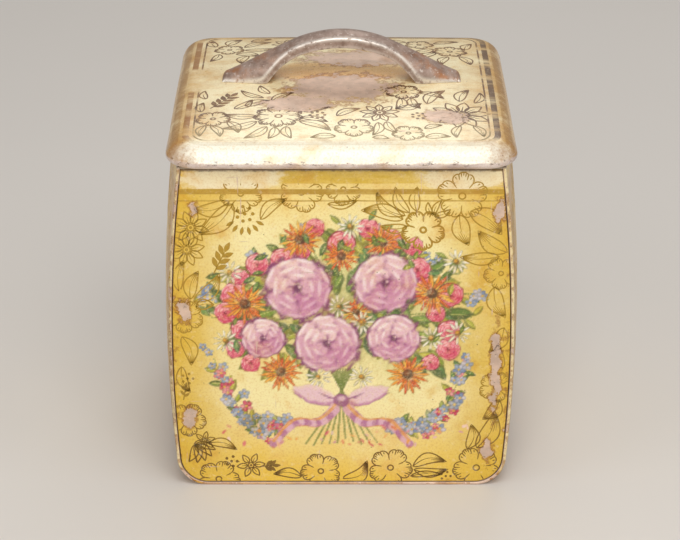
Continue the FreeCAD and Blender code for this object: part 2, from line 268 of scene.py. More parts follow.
class Picture:
    """Soft printed colour on a panel: dabs laid over one another at its own points, in millimetres."""

    def __init__(self, across, up, seed):
        self.across, self.up = across, up
        self.colour = np.zeros((*across.shape, 3))
        self.cover = np.zeros(across.shape)
        self.random = np.random.default_rng(seed)
        waves = self.random.uniform(-1, 1, (14, 2)) * np.linspace(0.5, 3.2, 14)[:, None]
        shifts = self.random.uniform(0, 6.28, 14)
        self.ripple = sum(np.sin(a * across + b * up + c) for (a, b), c in zip(waves, shifts)) / 5

    def dab(self, at, reach, colour, turn=0.0, strength=1.0, soft=0.4, pointed=False):
        """One brush mark: an oval, or a pointed leaf shape, of the given half sizes."""
        wide, high = np.broadcast_to(reach, 2)
        rows = np.flatnonzero(abs(self.up[:, 0] - at.imag) < max(wide, high) * 1.3)
        if not len(rows):
            return
        part = slice(rows[0], rows[-1] + 1)
        place = (self.across[part] - at.real + 1j * (self.up[part] - at.imag)) * np.exp(-1j * turn)
        u, v = place.real / wide, place.imag / high
        edge = u * u + abs(v) if pointed else np.hypot(u, v)
        share = np.clip((1 - edge - 0.1 * self.ripple[part]) / soft, 0, 1)
        share = strength * share * share * (3 - 2 * share)
        self.colour[part] += share[..., None] * (np.array(colour) - self.colour[part])
        self.colour[part] = np.where(self.cover[part][..., None] < 0.01, colour, self.colour[part])
        self.cover[part] += share * (1 - self.cover[part])

    def shade(self, colours):
        """A colour somewhere between two of the given ones."""
        first, second = self.random.choice(len(colours), 2)
        share = self.random.uniform()
        return np.array(colours[first]) * share + np.array(colours[second]) * (1 - share)

    def leaf(self, root, length, turn, colours):
        """A leaf in two tones with a pale vein."""
        way = np.exp(1j * turn)
        middle = root + way * length / 2
        colour = self.shade(colours)
        self.dab(middle, (length / 2, length * 0.24), colour * 0.72, turn, 0.95, 0.3, True)
        lit = middle + 1j * way * length * 0.05
        self.dab(lit, (length * 0.44, length * 0.14), colour * 1.12, turn, 0.8, 0.6, True)
        self.dab(middle, (length * 0.42, length * 0.022), (226, 214, 130), turn, 0.75, 0.9, True)

    def stem(self, start, end, bow, width, colour):
        """A thin curved stalk."""
        steps = int(abs(end - start) / 0.7)
        for share in np.linspace(0, 1, steps):
            at = start + (end - start) * share + 1j * (end - start) * bow * math.sin(math.pi * share)
            self.dab(at, width, colour, 0, 0.85, 0.5)

    def rose(self, at, size, dark, middle, pale):
        """A full bloom: rings of overlapping petals, each with a shaded inner side and a pale lip."""
        dark, middle, pale = np.array(dark, float), np.array(middle, float), np.array(pale, float)
        self.dab(at, size * 0.98, dark, 0, 0.95, 0.16)
        start = self.random.uniform(0, 6.28)
        for ring, (out, broad, count) in enumerate(((0.66, 0.46, 8), (0.44, 0.4, 6), (0.24, 0.3, 5))):
            for petal in range(count):
                turn = start + ring * 0.5 + petal * 2 * math.pi / count + self.random.normal(0, 0.09)
                way = np.exp(1j * turn)
                light = 0.5 + 0.5 * math.cos(turn - 2.0)
                colour = middle + (pale - middle) * min(1, 0.75 * light + self.random.uniform(0, 0.3))
                place = at + way * size * out
                self.dab(place - way * size * 0.1, (size * 0.24, size * broad), dark, turn, 0.85, 0.6)
                self.dab(place, (size * 0.23, size * broad * 0.88), colour, turn, 0.93, 0.36)
                lip = place + way * size * 0.13
                gleam = pale + (255 - pale) * 0.5
                self.dab(lip, (size * 0.07, size * broad * 0.8), gleam, turn, 0.35 + 0.5 * light, 0.7)
        self.dab(at, size * 0.16, dark * 0.85, 0, 0.9, 0.6)
        self.dab(at + size * (0.05 + 0.04j), size * 0.06, pale, 0, 0.8, 0.7)

    def ray_flower(self, at, size, petals, colours, heart, rings=1):
        """A daisy or marigold: rings of narrow petals round a domed heart."""
        for ring in range(rings):
            reach = size * (1 - 0.24 * ring)
            for petal in range(petals):
                turn = (petal + 0.5 * ring) * 2 * math.pi / petals + self.random.normal(0, 0.06)
                way = np.exp(1j * turn)
                colour = self.shade(colours)
                broad = 2.6 * reach / petals
                self.dab(at + way * reach * 0.62, (reach * 0.4, broad * 0.55), colour * 0.68, turn, 0.9, 0.35)
                self.dab(at + way * reach * 0.65, (reach * 0.35, broad * 0.4), colour, turn, 0.95, 0.5)
        self.dab(at, size * 0.27, np.array(heart) * 0.6, 0, 0.95, 0.4)
        self.dab(at + size * (-0.05 + 0.06j), size * 0.17, heart, 0, 0.95, 0.6)

    def blossom(self, at, size, colours):
        """A small flower of five round petals with a yellow eye."""
        start = self.random.uniform(0, 6.28)
        for turn in start + np.arange(5) * 2 * math.pi / 5:
            petal = at + np.exp(1j * turn) * size * 0.56
            colour = self.shade(colours)
            self.dab(petal, (size * 0.52, size * 0.44), colour * 0.8, turn, 0.95, 0.3)
            self.dab(petal, (size * 0.4, size * 0.32), colour, turn, 0.9, 0.6)
        self.dab(at, size * 0.26, (232, 188, 70), 0, 0.95, 0.4)

    def linear(self):
        """The colours and their cover as a shader's linear values."""
        shares = np.clip(self.colour / 255, 0, 1)
        values = np.where(shares <= 0.04045, shares / 12.92, ((shares + 0.055) / 1.055) ** 2.4)
        return np.dstack([values, self.cover])


greens = [(124, 146, 36), (164, 172, 48), (84, 118, 44), (196, 188, 62), (96, 138, 76)]
mauves = ((132, 54, 108), (204, 126, 166), (248, 212, 212))
pinks = ((156, 18, 56), (216, 56, 96), (248, 158, 164))
oranges = [(234, 116, 26), (246, 160, 44), (220, 82, 26), (250, 194, 72)]
blues = [(152, 172, 200), (188, 196, 216), (126, 148, 186), (214, 208, 222)]


def paint_posy(across, up, seed):
    """A tied posy: foliage behind, then small roses, marigolds and daisies round five full blooms, and a
    curved spray of small blossoms at each side of the bow."""
    art = Picture(across, up, seed)
    draw = art.random
    heart = 0 + 66j
    for at, reach, colour, strength in (
        (-22 + 62j, (30, 30), (226, 200, 96), 0.5),
        (24 + 60j, (30, 30), (186, 172, 62), 0.6),
        (2 + 86j, (42, 22), (210, 204, 120), 0.5),
        (0 + 67j, (34, 27), (124, 132, 58), 0.75),
        (0 + 24j, (40, 9), (236, 206, 140), 0.4),
    ):
        art.dab(at, reach, colour, 0, strength, 1.0)
    for side in (-1, 1):
        share = np.linspace(0, 1, 15)
        spray = side * (19 + 25 * share) + 1j * (26 - 7 * np.sin(math.pi * share) + 24 * share**2)
        for at, onward in zip(spray, spray[1:]):
            art.stem(at, onward, 0.02, 0.5, (122, 138, 66))
            for turn in (0.9, -0.9):
                art.leaf(at, draw.uniform(4, 6.5), np.angle(onward - at) + turn + draw.normal(0, 0.3), greens)
        for at in spray:
            for _ in range(3):
                spot = at + draw.normal(0, 1.9) + 1j * draw.normal(0, 1.9)
                art.blossom(spot, draw.uniform(1.5, 2.4), blues if draw.uniform() < 0.75 else pinks[1:])
    for foot in np.linspace(-10, 10, 10):
        cut = foot * 1.25 + (16 + draw.uniform(0, 3)) * 1j
        art.stem(cut, foot * -0.4 + 46j, 0.02 * foot / 9, 0.6, (112, 128, 46))
    for number, angle in enumerate(np.linspace(0.0, math.pi, 13)):
        reach = 38 + 3 * math.sin(5 * angle)
        tip = heart + reach * (math.cos(angle) * 1.17 + 0.84j * math.sin(angle))
        root = heart + 16 * np.exp(1j * angle)
        art.stem(root, tip, 0.05, 0.5, (120, 134, 60))
        for share in np.linspace(0.35, 1, 7):
            side = draw.choice((-1, 1))
            art.leaf(root + (tip - root) * share, draw.uniform(5, 8), angle + side * 0.8, greens)
        for _ in range(5 * (number % 2)):
            art.blossom(tip + draw.normal(0, 2) + 1j * draw.normal(0, 2), draw.uniform(1.5, 2.3), blues)
    for out in np.sort(draw.uniform(0.03, 1, 130))[::-1] ** 0.5 * 30:
        angle = draw.uniform(-0.8, math.pi + 0.8)
        root = heart + out * (1.2 * math.cos(angle) + 1j * math.sin(angle) * 0.95)
        art.leaf(root, draw.uniform(8, 13), angle + draw.normal(0, 0.5), greens)
    for _ in range(70):
        root = heart + draw.uniform(-24, 24) + draw.uniform(-18, 16) * 1j
        art.leaf(root, draw.uniform(7, 11), draw.uniform(0, 6.28), greens)
    for angle in np.linspace(-0.6, math.pi + 0.6, 21):
        at = heart + draw.uniform(26, 36) * (1.18 * math.cos(angle) + 1j * math.sin(angle) * 0.97)
        art.rose(at, draw.uniform(3.4, 5.4), *pinks)
    marigolds = [(-33 + 71j, 8.2), (31 + 75j, 8.4), (-14 + 95j, 7.6), (14 + 94j, 7.0)]
    marigolds += [(-21 + 45j, 7.8), (23 + 44j, 8.0), (0 + 89j, 6.4), (5 + 68j, 5.6)]
    for at, size in marigolds:
        art.ray_flower(at, size, 15, oranges, (140, 74, 26), 3)
    daisies = [-38 + 83j, 39 + 87j, 3 + 100j, -40 + 57j, 40 + 60j]
    daisies += [7 + 43j, -8 + 43j, 31 + 58j, -1 + 70j, 7 + 64j]
    for at in daisies:
        art.ray_flower(at, 4.8, 11, [(252, 246, 226), (240, 226, 190)], (222, 160, 44))
    full_blooms = [(-15 + 77j, 13.2), (15 + 79j, 12.6), (-5 + 56j, 12.6), (18 + 58j, 10.4), (-27 + 58j, 8.6)]
    for at, size in full_blooms:
        art.rose(at, size, *mauves)
    for _ in range(26):
        angle = draw.uniform(-0.7, math.pi + 0.7)
        at = heart + draw.uniform(26, 37) * (1.15 * math.cos(angle) + 1j * math.sin(angle))
        art.leaf(at, draw.uniform(3.5, 6), draw.uniform(0, 6.28), greens)
    knot = 0 + 34j
    for side in (-1, 1):
        for drop, colour in ((1.6, (158, 88, 134)), (0.7, (206, 144, 178)), (-0.5, (240, 204, 210))):
            loop = knot + side * 9.0 + 2.0j - drop * 1j
            art.dab(loop, (9.0, 4.2 - abs(drop)), colour, side * 0.32, 0.92, 0.3, True)
        for fold in (-0.5, 0.1, 0.7):
            crease = knot + side * (4.5 + 2 * fold) + (1.2 + fold) * 1j
            art.dab(crease, (3.2, 0.4), (150, 84, 128), side * (0.25 + 0.3 * fold), 0.7, 0.7)
        for share in np.linspace(0, 1, 60):
            at = knot + side * (2 + 22 * share) - 1j * (3 + 13 * share + 2.4 * math.sin(7 * share))
            colour = (186, 116, 158) if int(share * 11) % 2 else (226, 176, 200)
            art.dab(at, (2.4 - 0.5 * share, 1.6), colour, side * 0.9, 0.85, 0.35)
            art.dab(at + 1.3j, (1.0, 0.4), (234, 158, 58), side * 0.5, 0.8, 0.6)
            art.dab(at - 1.3j, (1.0, 0.4), (226, 140, 50), side * 0.5, 0.7, 0.6)
    art.dab(knot, (3.4, 2.9), (158, 88, 134), 0, 0.95, 0.3)
    art.dab(knot + 0.6j, (2.2, 1.5), (236, 196, 208), 0, 0.85, 0.7)
    for _ in range(40):
        at = draw.uniform(-44, 44) + draw.uniform(16, 24) * 1j
        colour = art.shade([pinks[1], mauves[1], mauves[2], oranges[1]])
        art.dab(at, (draw.uniform(0.8, 1.8), draw.uniform(0.5, 0.9)), colour, draw.uniform(0, 3), 0.8, 0.5)
    return art.linear()


def panel_sheet(name, end, seed):
    """A panel with a fine printed face, the bend at its edges, the flange and the plain inside."""
    foot = math.atan((belly - corner_z) / (corner_x - side_centre))
    turn = np.linspace(0, math.pi / 2 - foot, 20)
    radius = corner_radius - face_inset
    low = corner_z - radius * np.cos(turn)
    high = np.linspace(low[-1], face_top, face_rows + 1)[1:]
    arc = side_centre + np.sqrt((side_radius - face_inset) ** 2 - (high - belly) ** 2)
    heights = np.concatenate([low, high])
    halves = np.concatenate([corner_x + radius * np.sin(turn), arc])
    shares = np.linspace(-1, 1, face_columns)
    across = halves[:, None] * shares
    up = np.repeat(heights[:, None], len(shares), 1)
    swell = np.sin(across / 13 + 1) * np.sin(up / 17) + 0.6 * np.sin(across / 7 - up / 9)
    depth = -face_y + waviness * swell * (1 - shares**2) * np.sin(np.pi * np.clip(up / face_top, 0, 1))
    rows, columns = across.shape
    index = np.arange(rows * columns).reshape(rows, columns)
    loop = np.concatenate([index[0], index[1:, -1], index[-1, -2::-1], index[-2:0:-1, 0]])
    points = [np.stack([across, depth, up], -1).reshape(-1, 3)]
    flat = points[0][loop][:, ::2]
    step = np.roll(flat, -1, 0) - flat
    out = np.stack([step[:, 1], -step[:, 0]], 1) / np.linalg.norm(step, axis=1)[:, None]
    before = np.roll(out, 1, 0)
    out = (out + before) / (1 + (out * before).sum(1))[:, None]
    inner_bend = bend_radius - sheet
    bends = (0.4, 0.8, 1.2, math.pi / 2)
    rings = [(bend_radius * math.sin(a), bend_radius * (1 - math.cos(a))) for a in bends]
    rings += [(bend_radius, flange_depth), (inner_bend, flange_depth), (inner_bend, bend_radius)]
    rings += [(inner_bend * math.sin(a), bend_radius - inner_bend * math.cos(a)) for a in (0.8, 0.0)]
    grid = np.stack([index[:-1, :-1], index[:-1, 1:], index[1:, 1:], index[1:, :-1]], -1).reshape(-1, 4)
    faces, slots = grid.tolist(), [0] * len(grid)
    ring = loop
    for number, (reach, back) in enumerate(rings):
        place = flat + out * reach
        points.append(np.stack([place[:, 0], np.full(len(loop), back - face_y), place[:, 1]], 1))
        later = np.arange(len(loop)) + rows * columns + number * len(loop)
        faces += np.stack([np.roll(ring, -1), ring, later, np.roll(later, -1)], 1).tolist()
        slots += [0 if number < len(bends) else 1] * len(loop)
        ring = later
    faces.append(ring[::-1].tolist())
    slots.append(1)
    points = np.concatenate(points) * mm * np.array([end, end, 1])
    mesh = bpy.data.meshes.new(name)
    mesh.from_pydata(points.tolist(), [], faces)
    mesh.polygons.foreach_set("material_index", slots)
    mesh.polygons.foreach_set("use_smooth", [True] * len(faces))
    colours = np.zeros((len(points), 4), np.float32)
    colours[: rows * columns] = paint_posy(across, up, seed).reshape(-1, 4)
    mesh.color_attributes.new("picture", "FLOAT_COLOR", "POINT").data.foreach_set("color", colours.ravel())
    mesh.update()
    return mesh


def front_ground(place):
    """Cream in the middle, ochre towards the sides and the base, a painted shade line in the seam round the
    edge, and the gold bands on top.
    """
    drift = (place.noise(20, 4) - 0.5) * 0.5
    sides = (abs(place.axis(0)) / 57 + drift).over(0.45, 1.05)
    base = (place.axis(2) / 60 + drift).over(0.6, 0.0)
    top = (place.axis(2) / 120 + drift * 0.4).over(0.76, 0.98) * 0.65
    colour = base.most(top).mix(tone(252, 238, 176), tone(238, 198, 68))
    colour = sides.mix(colour, tone(224, 184, 54))
    # Painted shade: a dark brown line in the seam's gap between the panel and the bead.
    seam_shade = (abs(place.axis(1)) + place.noise(3, 4) * 0.2).over(55.48, 55.2)
    colour = (seam_shade * 0.92).mix(colour, tone(78, 50, 20))
    return gold_bands(place, colour)


def front_shade(place):
    colour = front_ground(place)
    picture = place.node("Attribute", {"attribute_name": "picture"}, {}, 0)
    cover = place.node("Attribute", {"attribute_name": "picture"}, {}, 3)
    wash = place.noise(1.3, 4, 0.65).over(0.25, 0.55) * 0.26 + 0.72
    return (cover * wash).mix(colour, picture)


def front_worn(place):
    edge = abs(place.axis(0)).over(53.0, 57.5) * 0.35
    spots = [
        ((53.5, -55, 105), (4.4, 6, 10)),
        ((53.4, -55, 46), (4.2, 6, 34)),
        ((-54, -55, 68), (5, 6, 11)),
        ((-53, -55, 27), (5, 6, 9)),
        ((51, -55, 14), (5, 6, 10)),
        ((-50, -55, 107), (3.6, 6, 7)),
    ]
    return edge.most(place.among(spots)) - 0.55


def bare_tin(name, red, green, blue, polish=0.34):
    """Plain tinplate, dulled and stained."""
    material, shader, place, _ = new_finish(name)
    grain = place.noise(0.5, 3, 0.6, (0.2, 1, 1))
    bump = place.node("Bump", {}, {"Strength": 0.25, "Distance": 0.05 * mm, "Height": grain})
    dull = place.noise(6, 4).over(0.3, 0.7)
    feed(
        shader,
        Base_Color=tin_colour(place, red, green, blue),
        Metallic=0.8,
        Roughness=polish + dull * 0.16 + grain * 0.08,
        Normal=bump,
    )
    return material


def new_piece(name, mesh, *finishes):
    """A mesh as a piece of the scene, with its finishes."""
    piece = bpy.data.objects.new(name, mesh)
    bpy.context.scene.collection.objects.link(piece)
    for finish in finishes:
        mesh.materials.append(finish)
    return piece


front_print = printed_tin("printed_front", front_shade, front_worn)
plain_inside = bare_tin("plain_inside", 190, 176, 150)
panels = {}
for name, node, end, seed in (("front_sheet", "front_panel", 1, 11), ("back_sheet", "back_panel", -1, 23)):
    panel = new_piece(name, panel_sheet(name, end, seed), front_print, plain_inside)
    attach(panel, "box")
    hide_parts(node)
    panels[node] = panel

# Gold line ornament of the walls: five-petalled blooms, hatched leaves, sprigs and dots, printed as fine
# lines. Each line is a thin closed ribbon of ink laid on the tin, with the wear of the tin under it.
fine_ink = 0.46


def run(points, width):
    """An open ink line of the given width or widths."""
    points = np.asarray(points, complex)
    return points, np.broadcast_to(width, len(points)).astype(float), False


def ring(points, width):
    """A closed ink line."""
    return (*run(points, width)[:2], True)


def dot(at, radius):
    along = np.linspace(-0.98, 0.98, 7)
    return run(at + along * radius, 2 * radius * np.sqrt(1 - along**2))


def bloom(at, size, turn=0.0, petals=5, ink=fine_ink):
    """A flower with scalloped petals, short hatching at their lips and a ring at its heart."""
    angle = np.linspace(0, 2 * np.pi, 30 * petals, endpoint=False)
    phase = (angle * petals / (2 * np.pi)) % 1 - 0.5
    lobe = 0.67 + 0.33 * np.cos(np.pi * phase) ** 0.5 - 0.07 * (1 - abs(np.cos(3 * np.pi * phase)) ** 0.5)
    spin = np.exp(1j * (angle + turn))
    lines = [ring(at + size * lobe * spin, ink), ring(at + 0.13 * size * np.exp(1j * angle[::5]), ink * 1.15)]
    for petal in range(petals):
        for offset, inner, outer in (
            (0, 0.4, 0.62),
            (0.2, 0.74, 0.85),
            (0.33, 0.68, 0.91),
            (0.42, 0.8, 0.95),
            (0.5, 0.86, 0.97),
            (0.58, 0.8, 0.95),
            (0.67, 0.68, 0.91),
            (0.8, 0.74, 0.85),
        ):
            way = np.exp(1j * ((petal + offset) * 2 * np.pi / petals + turn))
            hatch = at + size * way * np.linspace(inner, outer, 4)
            lines.append(run(hatch, ink * np.array([0.35, 0.7, 0.9, 0.9])))
    return lines


def leaf(root, tip, width, bow=0.0, hatch=5, ink=fine_ink):
    """A pointed leaf outline with a vein and hatching that gathers at its tip."""
    share = np.linspace(0, 1, 17)
    axis = tip - root
    middle = root + axis * share + 1j * axis * bow * np.sin(np.pi * share)
    side = 1j * axis / abs(axis) * width / 2 * np.sin(np.pi * share**0.8) ** 0.9
    lines = [ring(np.concatenate([middle + side, (middle - side)[-2:0:-1]]), ink)]
    lines.append(run(middle[:10], np.linspace(0.9, 0.3, 10) * ink))
    for offset in np.linspace(-0.72, 0.72, hatch):
        start = 8 + int(3 * abs(offset) + 2 * (offset > 0))
        lines.append(run((middle + offset * side)[start:16], np.linspace(0.25, 0.95, 16 - start) * ink))
    return lines


def daisy(at, size, petals=8, turn=0.0, ink=fine_ink):
    """A flower of narrow open petals round a dotted heart."""
    lines = [ring(at + 0.2 * size * np.exp(1j * np.linspace(0, 6.28, 14)[:-1]), ink), dot(at, 0.09 * size)]
    for petal in range(petals):
        way = np.exp(1j * (petal * 2 * np.pi / petals + turn))
        lines += leaf(at + 0.24 * size * way, at + size * way, 0.4 * size, 0, 0, ink)
    return lines


def sprig(root, tip, pairs, size, ink=fine_ink):
    """A stalk with filled leaves in pairs and one at its end."""
    axis = tip - root
    way = axis / abs(axis)
    lines = [run(root + axis * np.linspace(0, 1, 9), ink)]
    share = np.linspace(0, 1, 9)
    blade = np.sin(np.pi * share) * size * 0.42 + 0.05
    lines.append(run(tip + way * size * share, blade))
    for pair in range(pairs):
        for side in (-1, 1):
            start = root + axis * (pair + 0.8 + 0.15 * side) / (pairs + 0.4)
            lines.append(run(start + way * np.exp(0.75j * side) * size * share, blade))
    return lines


def berries(at, size, count=7, radius=0.55):
    """A ring of dots round one more."""
    return [dot(at, radius)] + [dot(at + size * np.exp(2j * np.pi * k / count), radius) for k in range(count)]


def print_lines(name, lines, tin, outward, across, upward, body, finish):
    """Lays ink lines, drawn flat in millimetres, on a tin as thin ribbons. outward is the way they are
    seen from."""
    outward, across, upward = Vector(outward), Vector(across), Vector(upward)
    mesh = tin.data
    corners = [vertex.co for vertex in mesh.vertices]
    surface = BVHTree.FromPolygons(corners, [polygon.vertices[:] for polygon in mesh.polygons])
    reach, lift, sink, steepest = 0.2, 0.03 * mm, 0.05 * mm, 0.25
    points, faces = [], []

    def lay(spot):
        start = outward * reach + across * spot.real * mm + upward * spot.imag * mm
        hit, normal, _, _ = surface.ray_cast(start, -outward)
        if hit is None or normal.dot(outward) < steepest:
            return None
        return hit + normal * lift, hit - normal * sink

    def close(stations, joined):
        count = len(stations)
        if count < 2:
            return
        first = len(points)
        for left, right in stations:
            points.extend((left[0], right[0], right[1], left[1]))
        for number in range(count if joined else count - 1):
            a, b = first + 4 * number, first + 4 * ((number + 1) % count)
            faces.extend((a + k, a + (k + 1) % 4, b + (k + 1) % 4, b + k) for k in range(4))
        if not joined:
            last = first + 4 * (count - 1)
            faces.append((first + 3, first + 2, first + 1, first))
            faces.append((last, last + 1, last + 2, last + 3))

    for centre, width, joined in lines:
        way = np.roll(centre, -1) - np.roll(centre, 1) if joined else np.gradient(centre)
        side = 0.5j * width * way / np.maximum(abs(way), 1e-9)
        stations = []
        whole = True
        for left, right in zip(centre + side, centre - side):
            pair = lay(left), lay(right)
            if None in pair:
                close(stations, False)
                stations, whole = [], False
            else:
                stations.append(pair)
        close(stations, joined and whole)
    ribbons = bpy.data.meshes.new(name)
    ribbons.from_pydata([tuple(point) for point in points], [], faces)
    piece = new_piece(name, ribbons, finish)
    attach(piece, body)


def front_ink(place):
    up = place.axis(2)
    dark = (up / 70 + place.noise(8, 3) - 0.5).over(0.75, 0.0)
    colour = dark.mix(tone(180, 142, 30), tone(124, 92, 22))
    on_band = up.between(*narrow_band, 0.1).most(up.over(wide_band[0] - 0.2, wide_band[0] + 0.2))
    faded = on_band * place.axis(0).over(36, 24) * 0.9
    return faded.mix(colour, front_ground(place))


def several(motif, places, **ink):
    """One motif's lines, drawn at each of these places."""
    return [line for place in places for line in motif(*place, **ink)]


front_blooms = [
    (27.5 + 98.7j, 7.4, 0.31, 5, 0.66),
    (40.4 + 111.1j, 8.6, 0.9),
    (-33.7 + 112.0j, 7.2, 0.3),
    (-13.4 + 112.4j, 7.4, 0.6),
    (0.6 + 113.6j, 6.0, 0.2),
    (47.6 + 7.0j, 8.4, 0.2),
    (17.3 + 7.0j, 7.8, 0.45),
    (-7.3 + 5.6j, 7.2, 0.1),
    (-43.4 + 2.4j, 7.6, 0.5),
    (54.2 + 82.6j, 6.0, 0.2),
    (53.6 + 39.1j, 6.0, 0.5),
    (-53.6 + 66.4j, 6.4, 0.2),
    (-53.8 + 26.3j, 6.6, 0.4),
]
front_leaves = [
    (-36.4 + 108.2j, -48.2 + 97.0j, 7.0, 0.1),
    (-37.6 + 109.0j, -50.4 + 106.4j, 5.2, 0.14),
    (-27.2 + 102.6j, -18.2 + 110.0j, 4.0, 0.14),
    (-4.6 + 108.2j, 5.4 + 109.6j, 2.6, -0.12, 3),
    (20.6 + 102.6j, 6.6 + 105.9j, 5.4, -0.1, 6),
    (22.0 + 99.8j, 13.2 + 100.2j, 3.4, 0.1, 3),
    (21.4 + 104.0j, 11.6 + 113.2j, 4.0, 0.2),
    (22.8 + 105.0j, 18.0 + 114.4j, 3.6, 0.14, 3),
    (25.2 + 105.6j, 25.4 + 114.4j, 3.6, 0.1, 3),
    (30.2 + 104.4j, 29.0 + 108.8j, 1.9, 0.1, 1),
    (30.8 + 104.2j, 33.6 + 109.6j, 1.9, 0.1, 1),
    (31.2 + 103.8j, 36.6 + 106.2j, 2.2, -0.1, 2),
    (39.6 + 104.2j, 43.0 + 93.0j, 6.0, -0.08, 6),
    (43.4 + 105.6j, 54.0 + 97.0j, 7.2, 0.12, 7),
    (56.0 + 90.4j, 46.0 + 98.4j, 5.6, 0.1, 6),
    (53.4 + 88.8j, 40.2 + 88.6j, 4.6, 0.06),
    (52.0 + 77.4j, 56.2 + 66.0j, 5.8, -0.12, 6),
    (55.8 + 62.0j, 51.0 + 52.6j, 5.0, 0.12),
    (55.8 + 46.4j, 54.0 + 56.0j, 4.0, 0.1),
    (55.0 + 34.0j, 49.4 + 26.4j, 5.0, 0.14),
    (44.4 + 14.6j, 45.4 + 24.4j, 4.6, -0.16),
    (47.6 + 15.0j, 53.6 + 29.6j, 6.6, -0.12, 7),
    (25.2 + 7.6j, 37.0 + 9.4j, 4.4, 0.2),
    (25.6 + 6.2j, 37.6 + 6.4j, 3.6, -0.12),
    (24.4 + 3.6j, 35.6 + 4.2j, 2.2, 0.06, 2),
    (0.6 + 2.6j, 9.0 + 9.8j, 5.0, -0.26, 7),
    (-14.2 + 3.4j, -24.0 + 4.4j, 3.8, -0.12),
    (-46.6 + 17.0j, -36.8 + 14.2j, 3.6, 0.14),
    (-51.6 + 73.0j, -48.6 + 83.4j, 4.6, 0.12),
    (-50.4 + 72.0j, -41.4 + 82.4j, 5.0, -0.12),
    (-49.8 + 70.0j, -43.6 + 70.8j, 3.8, 0.1, 3),
    (-55.4 + 76.0j, -53.4 + 87.6j, 3.8, 0.1),
    (-54.8 + 58.6j, -52.0 + 47.6j, 5.0, 0.14),
    (-55.4 + 47.0j, -52.6 + 37.0j, 3.8, -0.12),
]
front_daisies = [
    (-52.4 + 91.4j, 6.2, 9, 0.2),
    (-50.8 + 99.6j, 6.2, 9, 0.5),
    (-48.1 + 17.8j, 3.8, 6, 0.3),
    (-31.9 + 8.0j, 5.0, 6, 0.1),
]
front_sprigs = [
    (-43.4 + 82.6j, -39.6 + 90.4j, 3, 4.2),
    (-28.0 + 7.6j, -24.6 + 7.8j, 2, 3.2),
    (-55.0 + 34.0j, -54.2 + 38.6j, 2, 2.4),
]
front_berries = [
    (-32.5 + 104.6j, 2.7, 7, 0.62),
    (-38.8 + 9.6j, 2.0, 5, 0.55),
    (36.9 + 3.6j, 1.7, 5, 0.45),
    (-53.4 + 42.4j, 1.9, 5, 0.5),
]
front_lines = several(bloom, front_blooms) + several(leaf, front_leaves)
front_lines += several(daisy, front_daisies) + several(sprig, front_sprigs) + several(berries, front_berries)
for turn in np.linspace(-2.6, -0.5, 6):
    way = np.exp(1j * turn)
    share = np.linspace(0, 1, 8)
    blade = -32.5 + 104.0j + way * (4.2 + 3.2 * share)
    front_lines.append(run(blade, 1.25 * np.sin(np.pi * share) + 0.05))
fan_root = -51.4 + 16.4j
for turn in np.linspace(-1.9, -0.3, 5):
    front_lines += leaf(fan_root, fan_root + 7.4 * np.exp(1j * turn), 2.8, 0.1, 1)
front_gold = printed_tin("front_gold", front_ink, front_worn)
upright = (0, 0, 1)
for name, node, end in (("front_lines", "front_panel", 1), ("back_lines", "back_panel", -1)):
    print_lines(name, front_lines, panels[node], (0, -end, 0), (end, 0, 0), upright, "box", front_gold)

side_lines = [(centre.real * 0.92 + 1j * centre.imag, width, joined) for centre, width, joined in front_lines]
side_blooms = [
    (0 + 62j, 11.0, 0.3),
    (-17 + 75j, 8.0, 0.1),
    (17 + 73j, 8.4, 0.5),
    (-14 + 46j, 7.6, 0.7),
    (15 + 46j, 7.4, 0.2),
]
side_daisies = [
    (0 + 83j, 6.0, 9),
    (-29 + 60j, 5.0, 8),
    (29 + 59j, 5.0, 8),
]
side_lines += several(bloom, side_blooms) + several(daisy, side_daisies)
for turn in np.linspace(0.25, 6.0, 11):
    way = np.exp(1j * turn)
    side_lines += leaf(61j + way * 19, 61j + way * 31, 5.4, 0.12, 6)
for end in (-1, 1):
    side_lines += sprig(end * 8 + 87j, end * 17 + 93j, 3, 4.2) + sprig(end * 6 + 36j, end * 15 + 30j, 3, 4.0)
    side_lines += berries(end * 34 + 76j, 2.4) + berries(end * 32 + 44j, 2.2)
side_gold = printed_tin("side_gold", front_ink, side_worn)
band = tins["side_and_base_band"]
for name, end in (("left_lines", -1), ("right_lines", 1)):
    print_lines(name, side_lines, band, (end, 0, 0), (0, end, 0), upright, "box", side_gold)

# Neck ring: a bare tin shoulder over the wall edges with an upright collar that the lid closes over.
# The two hinge tabs are strips of the same tin, soldered to the back and curled round the rim's wire.
neck_tin = bare_tin("neck_tin", 196, 180, 158)
tab_tin = bare_tin("tab_tin", 176, 160, 148, 0.38)
for node, finish in (("neck_ring", neck_tin), ("hinge_tab_left", tab_tin), ("hinge_tab_right", tab_tin)):
    recoat(node, finish)

# Lid: a pressed tin with a crowned top and a round shoulder, its rim rolled over a wire. It is printed cream
# with brown flowers inside a double line, worn to the metal round the handle and chipped grey on the rim.


